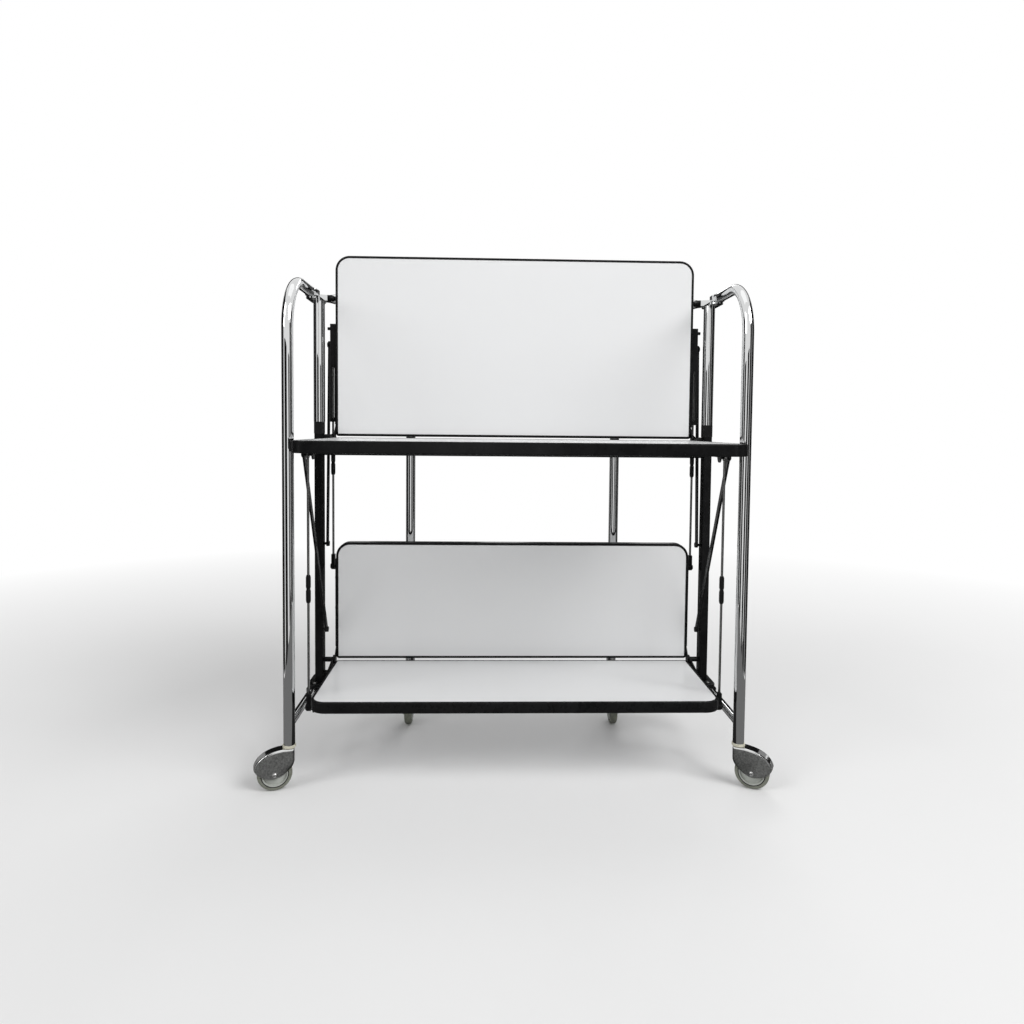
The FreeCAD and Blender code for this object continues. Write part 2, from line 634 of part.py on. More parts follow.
def leaf_catch():
    """Saddle on the leg's inner side with a notch for the bracket's stud."""
    y = -(PIVOT_Y + GATE_L)
    x_in = PIVOT_X - CATCH_IN
    z_stud = UPPER_AXIS - STUD_DROP
    z0 = z_stud - STUD_D / 2.0 - 6.0
    z1 = z0 + CATCH_H
    block = box(x_in, PIVOT_X - CATCH_OUT, y - CATCH_HALF, y + CATCH_HALF, z0, z1)
    corners = edges_where(block, lambda e: abs(e.BoundBox.ZMax - e.BoundBox.ZMin) > 5)
    block = block.makeFillet(2.5, corners)
    leg = rod(Vector(PIVOT_X, y, z0 - 1), Vector(PIVOT_X, y, z1 + 1), GATE_TUBE_D)
    wide = STUD_D / 2.0 + 0.6
    x_end = x_in + STUD_IN_CATCH + 1.0
    notch = box(x_in - 1, x_end, y - wide, y + wide, z_stud, z1 + 1)
    notch = notch.fuse(rod(Vector(x_in - 1, y, z_stud), Vector(x_end, y, z_stud), 2 * wide))
    return block.cut(leg).cut(notch)


# --- castors, drawn trailing along +X from a stem on the Z axis --------------

def hood_outline(y):
    """Teardrop outline of the hood's side, from the points given in wheel radii."""
    def spline(points):
        curve = Part.BSplineCurve()
        curve.interpolate([Vector(WHEEL_R * a, y, WHEEL_R * b) for a, b in points])
        return curve.toShape()

    lid_end = Vector(WHEEL_R * HOOD_OVER_TOP[0][0], y, WHEEL_R * HOOD_OVER_TOP[0][1])
    back = Vector(WHEEL_R * HOOD_UNDER[-1][0], y, WHEEL_R * HOOD_UNDER[-1][1])
    corner = Vector(back.x, y, lid_end.z)
    return Part.Face(Part.Wire([spline(HOOD_OVER_TOP), spline(HOOD_UNDER),
                                Part.makeLine(back, corner), Part.makeLine(corner, lid_end)]))


def castor_hood():
    """Hood with its stem and axle."""
    half = HOOD_W / 2.0
    hood = hood_outline(-half).extrude(Vector(0, HOOD_W, 0))
    rims = edges_where(hood, lambda e: abs(e.BoundBox.YMax - e.BoundBox.YMin) < 0.01)
    hood = hood.makeFillet(HOOD_ROUND, rims)
    gap = WHEEL_W / 2.0 + 1.2
    well = rod(Vector(TRAIL, -gap, WHEEL_R), Vector(TRAIL, gap, WHEEL_R),
               2 * (WHEEL_R + WHEEL_CLEAR))
    hood_top = WHEEL_R * HOOD_OVER_TOP[0][1]
    stem = rod(Vector(0, 0, hood_top - 5), Vector(0, 0, LEG_BOTTOM + STEM_L), STEM_D)
    axle = rod(Vector(TRAIL, -half, WHEEL_R), Vector(TRAIL, half, WHEEL_R), AXLE_D)
    hood = hood.cut(well).fuse(stem).fuse(axle)
    for sign in (-1, 1):
        y0 = sign * half
        y1 = sign * (half + AXLE_HEAD_T)
        head = rod(Vector(TRAIL, y0, WHEEL_R), Vector(TRAIL, y1, WHEEL_R), AXLE_HEAD_D)
        rim = edges_where(head, lambda e: abs(e.BoundBox.YMin - y1) < 0.01
                          and abs(e.BoundBox.YMax - y1) < 0.01)
        hood = hood.fuse(head.makeFillet(1.0, rim))
    return hood.removeSplitter()


def wheel_hub():
    """Spool hub: rim, thin web and boss."""
    r = WHEEL_R - TYRE_T
    half = WHEEL_W / 2.0
    bore_r = AXLE_D / 2.0 + BORE_PLAY
    boss_r = AXLE_D / 2.0 + 4.0
    rim_in = r - 3.0
    web = HUB_WEB / 2.0
    points = [(bore_r, -half), (boss_r, -half), (boss_r + 1, -web), (rim_in, -web),
              (rim_in + 1, -half), (r, -half), (r, half), (rim_in + 1, half),
              (rim_in, web), (boss_r + 1, web), (boss_r, half), (bore_r, half)]
    profile = face_of([Vector(TRAIL + a, b, WHEEL_R) for a, b in points])
    return profile.revolve(Vector(TRAIL, 0, WHEEL_R), Y_DIR, 360)


def wheel_tyre():
    """Ring with rounded shoulders round the hub."""
    inner = WHEEL_R - TYRE_T
    half = WHEEL_W / 2.0
    ring = rod(Vector(TRAIL, -half, WHEEL_R), Vector(TRAIL, half, WHEEL_R), 2 * WHEEL_R)
    ring = ring.makeFillet(3.5, edges_where(ring, lambda e: e.BoundBox.XMax - e.BoundBox.XMin > 1
                                            and e.BoundBox.YMax - e.BoundBox.YMin < 0.01))
    return ring.cut(rod(Vector(TRAIL, -half, WHEEL_R), Vector(TRAIL, half, WHEEL_R), 2 * inner))


# --- assembly ----------------------------------------------------------------

def leg_axis(row, side):
    """Where the leg stands, with the rear gates folded in."""
    x_sign = 1 if side == "right" else -1
    if row == "front":
        return x_sign * PIVOT_X, -(PIVOT_Y + GATE_L)
    fold = math.radians(REAR_FOLD)
    return (x_sign * (PIVOT_X - GATE_L * math.sin(fold)),
            PIVOT_Y + GATE_L * math.cos(fold))


def place_gate(shape, row, side):
    """Mirror a front right piece to its own corner and fold it."""
    if row == "rear":
        pivot = Vector(PIVOT_X, PIVOT_Y, 0)
        shape = turned(flip_y(shape), pivot, Z_DIR, REAR_FOLD)
    return shape if side == "right" else flip_x(shape)


def build():
    """Every node by name, before the final move to the floor's middle."""
    nodes = {}
    post_body = post()
    for side in ("left", "right"):
        hand = (lambda s: s) if side == "right" else flip_x
        nodes["post_" + side] = hand(post_body)
        nodes["post_tube_" + side] = hand(post_tube())
    pair = lambda solids: group(*(solids + [flip_x(s) for s in solids]))
    head = cut_pin_bores(post_head(), GATE_TOP - PIN_BORE_RUN, GATE_TOP)
    foot = cut_pin_bores(post_foot(), GATE_LOW_Z - PIN_BORE_RUN, GATE_LOW_Z + PIN_BORE_RUN)
    nodes["post_heads"] = pair([head])
    nodes["post_feet"] = pair([foot])
    nodes["post_ferrules"] = pair([post_ferrule()])
    nodes["gate_pins"] = pair(gate_pins())
    nodes["hinge_pins"] = pair([hinge_pin(UPPER_AXIS), hinge_pin(LOWER_AXIS)])
    nodes["upper_cross_tube"] = cross_tube(UPPER_AXIS)
    nodes["lower_cross_tube"] = cross_tube(LOWER_AXIS)

    levels = (("upper", UPPER_D, UPPER_AXIS, UPPER_BRACKET_OUT),
              ("lower", LOWER_D, LOWER_AXIS, LOWER_BRACKET_OUT))
    for row in ("front", "rear"):
        is_front = row == "front"
        for level, depth, axis_z, reach in levels:
            leaf = level + "_" + row + "_leaf"
            brackets = leaf_brackets(reach, is_front, level == "upper")
            nodes[leaf + "_board"] = place_leaf(leaf_board(depth), is_front, axis_z)
            nodes[leaf + "_edging"] = place_leaf(leaf_edging(depth), is_front, axis_z)
            nodes[leaf + "_brackets"] = place_leaf(brackets, is_front, axis_z)
        for side in ("left", "right"):
            hand = (lambda s: s) if side == "right" else flip_x
            corner = row + "_" + side
            nodes[corner + "_link_rod"] = hand(link_rod(is_front))
            nodes[corner + "_link_fittings"] = hand(link_fittings(is_front))
            nodes[corner + "_strut"] = hand(strut(is_front))
            nodes[corner + "_slide_block"] = hand(slide_block(is_front))
            nodes[corner + "_gate"] = place_gate(gate_frame(), row, side)
            nodes[corner + "_leaf_catch"] = place_gate(leaf_catch(), row, side)
            x, y = leg_axis(row, side)
            for piece, shape in (("castor_hood", castor_hood()), ("wheel_hub", wheel_hub()),
                                 ("wheel_tyre", wheel_tyre())):
                trailing = turned(shape, ORIGIN, Z_DIR, CASTOR_TURN[corner])
                nodes[corner + "_" + piece] = moved(trailing, x, y)
    return nodes


def floor_centre(nodes):
    """Move that brings the middle of the overall box to X = Y = 0."""
    box_all = FreeCAD.BoundBox()
    for shape in nodes.values():
        box_all.add(shape.optimalBoundingBox(True, False))
    return -box_all.Center.x, -box_all.Center.y, -box_all.ZMin


def main():
    os.makedirs("parts", exist_ok=True)
    nodes = build()
    x, y, z = floor_centre(nodes)
    print("moved by", x, y, z)
    for name, shape in nodes.items():
        moved(shape, x, y, z).exportStep("parts/" + name + ".step")
    print(len(nodes), "nodes")


main()
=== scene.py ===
"""Folding serving trolley: finishes, small fasteners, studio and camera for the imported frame."""

import json
import math

import bmesh
import bpy
from mathutils import Matrix, Vector

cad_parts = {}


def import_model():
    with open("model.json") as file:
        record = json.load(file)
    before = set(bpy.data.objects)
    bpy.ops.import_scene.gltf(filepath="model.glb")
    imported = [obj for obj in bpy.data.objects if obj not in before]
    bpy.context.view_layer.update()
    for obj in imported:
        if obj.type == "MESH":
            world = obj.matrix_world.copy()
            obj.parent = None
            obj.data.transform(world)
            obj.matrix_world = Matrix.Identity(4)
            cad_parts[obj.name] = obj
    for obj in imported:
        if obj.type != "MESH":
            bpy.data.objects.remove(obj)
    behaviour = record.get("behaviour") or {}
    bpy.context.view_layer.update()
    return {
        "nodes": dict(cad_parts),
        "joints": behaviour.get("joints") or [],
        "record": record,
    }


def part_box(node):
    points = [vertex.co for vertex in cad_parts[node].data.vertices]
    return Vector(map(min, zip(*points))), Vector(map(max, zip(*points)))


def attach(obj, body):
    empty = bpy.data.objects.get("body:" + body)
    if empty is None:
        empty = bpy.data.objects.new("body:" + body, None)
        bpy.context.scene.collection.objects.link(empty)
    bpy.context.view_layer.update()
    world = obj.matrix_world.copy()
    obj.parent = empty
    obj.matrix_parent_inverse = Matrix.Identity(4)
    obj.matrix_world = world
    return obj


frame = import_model()

# Camera. Places are in metres in the row frame and angles in radians.
PHOTO_PX = 1024.0            # side of the square picture
SENSOR_MM = 36.0
FOCAL_PX = 747.4
CENTRE_PX_Y = 464.0          # row of the picture that the optical axis meets
CAMERA_AT = (-0.0412, -1.1156, 0.5111)
YAW = 0.0314
PITCH = 0.0485
ROLL = 0.0093
CLIP_START = 0.05

# Linear colours.
WHITE_LAMINATE = (0.80, 0.805, 0.81)
BLACK_VINYL = (0.005, 0.005, 0.0052)
BLACK_ENAMEL = (0.004, 0.004, 0.0042)
BLACK_MOULDING = (0.006, 0.006, 0.0062)
# Paler colours for the edges of the black pieces: partly wear and partly a painted highlight.
VINYL_WEAR_AND_SHEEN = (0.022, 0.022, 0.023)
ENAMEL_WEAR_AND_SHEEN = (0.055, 0.055, 0.055)
MOULDING_WEAR_AND_SHEEN = (0.035, 0.035, 0.035)
CHROME = (0.68, 0.685, 0.685)
ZINC = (0.27, 0.27, 0.265)
HOOD_METAL = (0.66, 0.665, 0.66)
# Grey of the hood's sides: painted shade and a painted dark reflection, darker than the metal of
# the crown.
HOOD_SIDE_PAINTED_SHADE = (0.42, 0.425, 0.415)
HOOD_EDGE = (0.72, 0.72, 0.71)
STEEL_BRIGHT = (0.80, 0.80, 0.79)
STEEL_DULL = (0.62, 0.62, 0.61)
BUSH_CREAM = (0.66, 0.64, 0.52)
HUB_PALE = (0.52, 0.54, 0.50)
TYRE_GREY = (0.24, 0.25, 0.205)
FLOOR_PALE = (0.84, 0.84, 0.84)

# Names and sizes that follow the frame, in metres.
CORNERS = ("front_left", "front_right", "rear_left", "rear_right")
BUSH_TOP = 0.0621            # foot of each leg's tube; the bush's flange is below it
BUSH_STEP = 0.0001           # height over which the cream finish gives way to chrome
CHEEK_SHEET = 0.002          # thickness of a bracket's cheek
HOOD_HALF_W = 0.010          # middle of a wheel to the hood's outer face
WHEEL_HALF_W = 0.006         # middle of a wheel to the face of its hub and tyre

# Radius of the rounding that finds the paler edges, in metres: worn edges, and on the black pieces
# partly a painted highlight too.
BLACK_WEAR_AND_SHEEN_R = 0.0007
HOOD_WEAR_R = 0.0008

# Screws through the brackets' cheeks, in metres.
SCREW_ALONG = (0.082, 0.132)     # from the leaf's hinge edge
SCREW_DOWN = 0.004               # from the board's middle towards its underside
SCREW_R = 0.0032
SCREW_H = 0.0014
SCREW_SIDES = 24
# The head's rings, as shares of its radius and of its height.
SCREW_PROFILE = ((1.0, 0.0), (1.0, 0.35), (0.9, 0.7), (0.68, 0.93), (0.42, 1.0))
RECESS_R = 0.40                  # end of the cross's arms, as a share of the head's radius
RECESS_NOTCH = 0.45              # inner corner of the cross, as a share of its arms
RECESS_FLOOR = 0.35              # as a share of the head's height

# Turned pieces on the wheels: radius and distance outward, in metres.
CAP_SIDES = 28
CAP_OUTLINE = ((0.00350, -0.0006), (0.00358, 0.0004), (0.00350, 0.0011), (0.00305, 0.0018),
               (0.00225, 0.00225), (0.00150, 0.0024), (0.00120, 0.0022), (0.00060, 0.0021))
# Dark bead over the joint of hub and tyre: painted shade in the gap between them.
GAP_SHADE_SIDES = 64
GAP_SHADE_OUTLINE = ((0.01815, -0.00030), (0.01785, 0.00012), (0.01815, 0.00040),
                (0.01880, 0.00040), (0.01910, 0.00012), (0.01885, -0.00030))

# Studio, in metres, watts and degrees.
WORLD_DIFFUSE = 0.39             # strength of the surround for diffuse rays
WORLD_SEEN = 1.0                 # and where it is seen or reflected
FLOOR_REACH = 9.0
FLOOR_FADE = (0.7, 2.2)          # from the middle to where the fade to white starts and ends
LAMP_AIM = (0.0, 0.0, 0.4)
# Name, place, size and power of each lamp.
LAMPS = (
    ("key_light", (1.9, -1.7, 2.5), (1.8, 1.6), 65.0),
    ("fill_light", (-2.2, -1.5, 2.0), (1.2, 1.8), 26.0),
    ("top_light", (0.0, 0.1, 3.0), (2.2, 1.6), 4.0),
    ("back_light", (0.8, 2.6, 1.9), (1.6, 1.0), 20.0),
)
CARD_RADIUS = 0.80
CARD_FOOT = 0.01
# First and last azimuth from the front, height and grey of each card round the object.
STANDING_CARDS = (
    (8.0, 34.0, 0.68, 0.01),
    (43.0, 62.0, 0.90, 0.01),
    (62.0, 72.0, 0.90, 0.30),
    (72.0, 110.0, 1.15, 0.01),
    (110.0, 118.0, 1.15, 0.30),
    (118.0, 150.0, 1.15, 0.01),
    (156.0, 176.0, 1.15, 0.08),
    (-56.0, -21.0, 0.68, 0.01),
    (-72.0, -65.0, 0.90, 0.30),
    (-112.0, -72.0, 1.15, 0.01),
    (-120.0, -112.0, 1.15, 0.30),
    (-150.0, -120.0, 1.15, 0.01),
    (-176.0, -156.0, 1.15, 0.08),
)
# Name, size, height above the floor and grey of the cards over the floor, for the tubes'
# lower ends. The darker one lies between the legs: a painted shadow of the trolley on the floor,
# seen only in reflections.
LYING_CARDS = (
    ("grey_card_floor", (1.6, 1.6), 0.003, 0.20),
    ("grey_card_shade", (0.62, 0.30), 0.004, 0.02),
)


# --- material helpers --------------------------------------------------------

def shade(colour, factor):
    """The colour made darker, or lighter where the factor is over 1."""
    return tuple(min(1.0, part * factor) for part in colour)


class Finish:
    """A Principled material with a few shorthand ways to drive it from noise."""

    def __init__(self, name, colour, metallic=0.0, roughness=0.5, specular=0.5):
        self.material = bpy.data.materials.new(name)
        self.material.use_nodes = True
        self.tree = self.material.node_tree
        self.shader = self.tree.nodes["Principled BSDF"]
        self.shader.inputs["Base Color"].default_value = (*colour, 1.0)
        self.shader.inputs["Metallic"].default_value = metallic
        self.shader.inputs["Roughness"].default_value = roughness
        self.shader.inputs["Specular IOR Level"].default_value = specular
        self.coords = self.tree.nodes.new("ShaderNodeTexCoord")

    def link(self, source, target):
        self.tree.links.new(source, target)

    def along_z(self, coordinates):
        """Z part of the named texture coordinates."""
        split = self.tree.nodes.new("ShaderNodeSeparateXYZ")
        self.link(self.coords.outputs[coordinates], split.inputs["Vector"])
        return split.outputs["Z"]

    def ranged(self, value, low, high, start=0.3, end=0.7):
        """Value between start and end mapped to low to high, and held beyond them."""
        node = self.tree.nodes.new("ShaderNodeMapRange")
        node.inputs["From Min"].default_value = start
        node.inputs["From Max"].default_value = end
        node.inputs["To Min"].default_value = low
        node.inputs["To Max"].default_value = high
        self.link(value, node.inputs["Value"])
        return node.outputs["Result"]

    def noise(self, scale, detail=4.0, stretch=(1.0, 1.0, 1.0)):
        """Noise about 0.5 that stays with the piece, stretched along the axes."""
        mapping = self.tree.nodes.new("ShaderNodeMapping")
        mapping.inputs["Scale"].default_value = stretch
        self.link(self.coords.outputs["Object"], mapping.inputs["Vector"])
        texture = self.tree.nodes.new("ShaderNodeTexNoise")
        texture.inputs["Scale"].default_value = scale
        texture.inputs["Detail"].default_value = detail
        self.link(mapping.outputs["Vector"], texture.inputs["Vector"])
        return texture.outputs["Fac"]

    def patches(self, low, high, scale, detail=4.0, start=0.3, end=0.7):
        """Noise between start and end, mapped to low to high."""
        return self.ranged(self.noise(scale, detail), low, high, start, end)

    def blend(self, factor, first, second, kind="RGBA"):
        """Mix of two colours, or of two numbers where kind is FLOAT."""
        node = self.tree.nodes.new("ShaderNodeMix")
        node.data_type = kind
        sockets = [s for s in node.inputs if s.enabled]
        self.link(factor, sockets[0])
        for socket, value in ((sockets[1], first), (sockets[2], second)):
            if isinstance(value, tuple):
                socket.default_value = (*value, 1.0)
            elif isinstance(value, float):
                socket.default_value = value
            else:
                self.link(value, socket)
        return [s for s in node.outputs if s.enabled][0]

    def mottled(self, colour, factor, scale, detail=4.0, start=0.3, end=0.7):
        """The colour, in patches that run to the same colour times the factor."""
        return self.blend(self.patches(0.0, 1.0, scale, detail, start, end), colour,
                          shade(colour, factor))

    def sharp_edge_mask(self, radius):
        """1 on sharp edges and 0 on flat faces, from how far a rounded normal turns."""
        bevel = self.tree.nodes.new("ShaderNodeBevel")
        bevel.samples = 4
        bevel.inputs["Radius"].default_value = radius
        geometry = self.tree.nodes.new("ShaderNodeNewGeometry")
        dot = self.tree.nodes.new("ShaderNodeVectorMath")
        dot.operation = "DOT_PRODUCT"
        self.link(bevel.outputs["Normal"], dot.inputs[0])
        self.link(geometry.outputs["Normal"], dot.inputs[1])
        return self.ranged(dot.outputs["Value"], 1.0, 0.0, start=0.65, end=0.98)

    def colour_from(self, value):
        self.link(value, self.shader.inputs["Base Color"])

    def roughness_from(self, value):
        self.link(value, self.shader.inputs["Roughness"])

    def bump(self, height, strength, distance):
        """Relief from a height between 0 and 1; the distance is in metres."""
        node = self.tree.nodes.new("ShaderNodeBump")
        node.inputs["Strength"].default_value = strength
        node.inputs["Distance"].default_value = distance
        self.link(height, node.inputs["Height"])
        self.link(node.outputs["Normal"], self.shader.inputs["Normal"])


# --- finishes ----------------------------------------------------------------

def laminate():
    """White gloss laminate: faint cloudiness, rubbed patches and orange peel."""
    finish = Finish("white_laminate", WHITE_LAMINATE, specular=0.32)
    finish.colour_from(finish.mottled(WHITE_LAMINATE, 0.965, scale=2.0, detail=2.0,
                                      start=0.15, end=0.85))
    finish.roughness_from(finish.patches(0.22, 0.27, scale=6.0, detail=2.0,
                                         start=0.1, end=0.9))
    finish.bump(finish.noise(scale=260.0, detail=2.0), strength=0.03, distance=0.0003)
    return finish.material


def black_finish(name, colour, wear_and_sheen, specular, roughness, grain, relief):
    """Black with grain in its roughness and relief, paler on its edges: partly wear and partly a
    painted highlight.
    """
    finish = Finish(name, colour, specular=specular)
    tone = finish.mottled(colour, 1.9, scale=30.0, detail=5.0)
    finish.colour_from(finish.blend(finish.sharp_edge_mask(BLACK_WEAR_AND_SHEEN_R), tone, wear_and_sheen))
    finish.roughness_from(finish.patches(*roughness, scale=grain, detail=5.0))
    finish.bump(finish.noise(scale=grain * 3.0, detail=3.0), strength=0.12, distance=relief)
    return finish.material


def chrome():
    """Polished chrome with haze, draw lines and pits; cream bushes at the legs' feet."""
    finish = Finish("polished_chrome", CHROME)
    bush = finish.ranged(finish.along_z("Object"), 1.0, 0.0, BUSH_TOP - BUSH_STEP, BUSH_TOP)
    haze = finish.patches(0.01, 0.05, scale=40.0, detail=6.0)
    finish.roughness_from(finish.blend(bush, haze, 0.42, "FLOAT"))
    pitted = finish.mottled(CHROME, 0.45, scale=900.0, detail=1.0, start=0.70, end=0.76)
    cream = finish.mottled(BUSH_CREAM, 0.8, scale=300.0)
    finish.colour_from(finish.blend(bush, pitted, cream))
    metal = finish.ranged(bush, 1.0, 0.0, start=0.0, end=1.0)
    finish.link(metal, finish.shader.inputs["Metallic"])
    draw_lines = finish.noise(scale=60.0, detail=2.0, stretch=(1.0, 1.0, 0.15))
    finish.bump(draw_lines, strength=0.02, distance=0.0005)
    return finish.material


def zinc():
    """Bright zinc: streaked along the rods and slightly dull."""
    finish = Finish("bright_zinc", ZINC, metallic=1.0)
    streaks = finish.noise(scale=180.0, stretch=(1.0, 1.0, 0.08))
    finish.roughness_from(finish.ranged(streaks, 0.16, 0.38))
    finish.colour_from(finish.mottled(ZINC, 0.72, scale=50.0))
    return finish.material


def hood_metal():
    """Plated die-cast hood: a bright crown, rubbed edges, and mottled sides painted a darker grey
    as painted shade and a painted reflection of a dark surround.
    """
    finish = Finish("plated_hood", HOOD_METAL, metallic=1.0)
    crown = finish.ranged(finish.along_z("Normal"), 0.0, 1.0, start=0.12, end=0.40)
    mottle = finish.patches(0.0, 1.0, scale=420.0, detail=9.0, start=0.34, end=0.66)
    # The sides get a darker grey than the crown's metal, in mottled patches: painted shade and a
    # painted reflection of a dark surround.
    side = finish.blend(mottle, shade(HOOD_SIDE_PAINTED_SHADE, 1.30), shade(HOOD_SIDE_PAINTED_SHADE, 0.70))
    tone = finish.blend(crown, side, HOOD_METAL)
    finish.colour_from(finish.blend(finish.sharp_edge_mask(HOOD_WEAR_R), tone, HOOD_EDGE))
    dull = finish.patches(0.26, 0.44, scale=70.0, detail=5.0)
    finish.roughness_from(finish.blend(crown, dull, 0.07, "FLOAT"))
    finish.bump(finish.noise(scale=260.0), strength=0.08, distance=0.0005)
    return finish.material


def burnished_steel():
    """Bright riveted steel with fine marks."""
    finish = Finish("burnished_steel", STEEL_BRIGHT, metallic=1.0)
    finish.roughness_from(finish.patches(0.14, 0.34, scale=900.0))
    finish.colour_from(finish.blend(finish.patches(0.0, 1.0, scale=400.0), STEEL_BRIGHT,
                                    STEEL_DULL))
    return finish.material


def hub_plastic():
    """Pale moulded hub, a little soiled."""
    finish = Finish("pale_hub_plastic", HUB_PALE)
    finish.colour_from(finish.mottled(HUB_PALE, 0.75, scale=70.0, detail=5.0))
    finish.roughness_from(finish.patches(0.3, 0.5, scale=200.0, detail=3.0))
    finish.bump(finish.noise(scale=500.0, detail=2.0), strength=0.08, distance=0.0003)
    return finish.material


def tyre_grey():
    """Grey-green soft tyre, a little see-through, with grime and scuffs."""
    finish = Finish("grey_soft_tyre", TYRE_GREY)
    finish.shader.inputs["Subsurface Weight"].default_value = 0.25
    finish.shader.inputs["Subsurface Radius"].default_value = (0.004, 0.004, 0.003)
    finish.colour_from(finish.mottled(TYRE_GREY, 0.68, scale=120.0, detail=6.0))
    finish.roughness_from(finish.patches(0.38, 0.66, scale=160.0))
    finish.bump(finish.noise(scale=700.0, detail=3.0), strength=0.15, distance=0.0004)
    return finish.material


def dress_nodes():
    """Give every CAD node the finish of its material slot; return the finishes by slot."""
    finishes = {
        "laminate": laminate(),
        "vinyl": black_finish("black_vinyl_edging", BLACK_VINYL, VINYL_WEAR_AND_SHEEN, specular=0.11,
                              roughness=(0.22, 0.36), grain=140.0, relief=0.0004),
        "black_enamel": black_finish("black_stove_enamel", BLACK_ENAMEL, ENAMEL_WEAR_AND_SHEEN,
                                     specular=0.12, roughness=(0.16, 0.32), grain=90.0,
                                     relief=0.0005),
        "black_plastic": black_finish("black_moulding", BLACK_MOULDING, MOULDING_WEAR_AND_SHEEN,
                                      specular=0.14, roughness=(0.34, 0.50), grain=200.0,
                                      relief=0.0004),
        "chrome": chrome(),
        "zinc": zinc(),
        "hood_grey": hood_metal(),
        "hub_plastic": hub_plastic(),
        "tyre_grey": tyre_grey(),
    }
    for part in frame["record"]["subparts"]:
        mesh = frame["nodes"][part["node"]]
        finish = finishes[part["material_slot"]]
        if not mesh.material_slots:
            mesh.data.materials.append(finish)
        for slot in mesh.material_slots:
            slot.material = finish
    return finishes


# --- small fasteners and trim --------------------------------------------------

def ring(height, radii):
    """Points round the X axis at a height along it, one for each radius."""
    sides = len(radii)
    return [(height, r * math.cos(2 * math.pi * i / sides), r * math.sin(2 * math.pi * i / sides))
            for i, r in enumerate(radii)]


def loft(name, rings, closed=False, flat_caps=False):
    """Object with its skin through the rings in turn, closed to a loop or capped at its ends."""
    shape = bmesh.new()
    loops = [[shape.verts.new(point) for point in points] for points in rings]
    following = loops[1:] + loops[:1] if closed else loops[1:]
    for lower, upper in zip(loops, following):
        for i in range(len(lower)):
            j = (i + 1) % len(lower)
            shape.faces.new((lower[i], lower[j], upper[j], upper[i]))
    if not closed:
        shape.faces.new(loops[-1])
        shape.faces.new(list(reversed(loops[0])))
    bmesh.ops.recalc_face_normals(shape, faces=shape.faces)
    mesh = bpy.data.meshes.new(name)
    shape.to_mesh(mesh)
    shape.free()
    for face in mesh.polygons:
        is_cap = len(face.vertices) > 4
        face.use_smooth = not (is_cap and flat_caps)
    piece = bpy.data.objects.new(name, mesh)
    bpy.context.collection.objects.link(piece)
    return piece


def pan_screw(name, at, outward):
    """Pan-head screw with a cross recess; its head stands out along +X or -X."""
    rings = [ring(outward * h * SCREW_H, [r * SCREW_R] * SCREW_SIDES)
             for r, h in SCREW_PROFILE]
    # Of every six points round the cross, three are at an arm's end and three in its corner.
    cross = [RECESS_R * SCREW_R * (1.0 if i % 6 in (0, 1, 5) else RECESS_NOTCH)
             for i in range(SCREW_SIDES)]
    rings += [ring(outward * SCREW_H, cross), ring(outward * SCREW_H * RECESS_FLOOR, cross)]
    screw = loft(name, rings, flat_caps=True)
    screw.location = at
    return screw


def bracket_screws(finish):
    """Two screws through each bracket's cheek into the board's edge."""
    for level in ("upper", "lower"):
        for row in ("front", "rear"):
            leaf = "%s_%s_leaf" % (level, row)
            board_low, board_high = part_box(leaf + "_board")
            edge_low, edge_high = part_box(leaf + "_edging")
            middle = [(a + b) / 2.0 for a, b in zip(board_low, board_high)]
            for side, outward in (("left", -1.0), ("right", 1.0)):
                x = edge_low[0] if outward < 0 else edge_high[0]
                x += outward * CHEEK_SHEET
                for number, along in enumerate(SCREW_ALONG):
                    if row == "front":
                        place = (x, edge_high[1] - along, middle[2] - SCREW_DOWN)
                    else:
                        place = (x, middle[1] + SCREW_DOWN, edge_low[2] + along)
                    screw = pan_screw("%s_%s_cheek_screw_%d" % (leaf, side, number + 1),
                                      place, outward)
                    screw.data.materials.append(finish)
                    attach(screw, leaf)


def turned_piece(name, outline, sides, at, outward, closed=False):
    """Piece turned about a wheel's axle from an outline of radii and distances outward."""
    piece = loft(name, [ring(h, [r] * sides) for r, h in outline], closed)
    piece.location = at
    piece.rotation_euler = (0.0, 0.0, math.atan2(outward[1], outward[0]))
    return piece


def wheel_sides():
    """Both sides of each wheel: its corner, the side's number, the wheel's middle, outward."""
    joints = {joint["name"]: joint for joint in frame["joints"]}
    for corner in CORNERS:
        joint = joints[corner + "_wheel_roll"]
        axis = Vector(joint["axis"]).normalized()
        for number, sign in ((1, -1.0), (2, 1.0)):
            yield corner, number, Vector(joint["pos_m"]), axis * sign


def axle_caps(finish):
    """A domed cap over each end of the four axles, on the hood's outer faces."""
    for corner, number, middle, outward in wheel_sides():
        cap = turned_piece("%s_axle_cap_%d" % (corner, number), CAP_OUTLINE, CAP_SIDES,
                           middle + outward * HOOD_HALF_W, outward)
        cap.data.materials.append(finish)
        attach(cap, corner + "_castor")


def gap_shade_beads(finish):
    """A thin dark bead over the joint of hub and tyre, on both faces of each wheel: painted shade
    in the gap between them.
    """
    for corner, number, middle, outward in wheel_sides():
        gap_shade_bead = turned_piece("%s_wheel_gap_shade_%d" % (corner, number), GAP_SHADE_OUTLINE, GAP_SHADE_SIDES,
                            middle + outward * WHEEL_HALF_W, outward, closed=True)
        gap_shade_bead.data.materials.append(finish)
        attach(gap_shade_bead, corner + "_wheel")


# --- studio --------------------------------------------------------------------

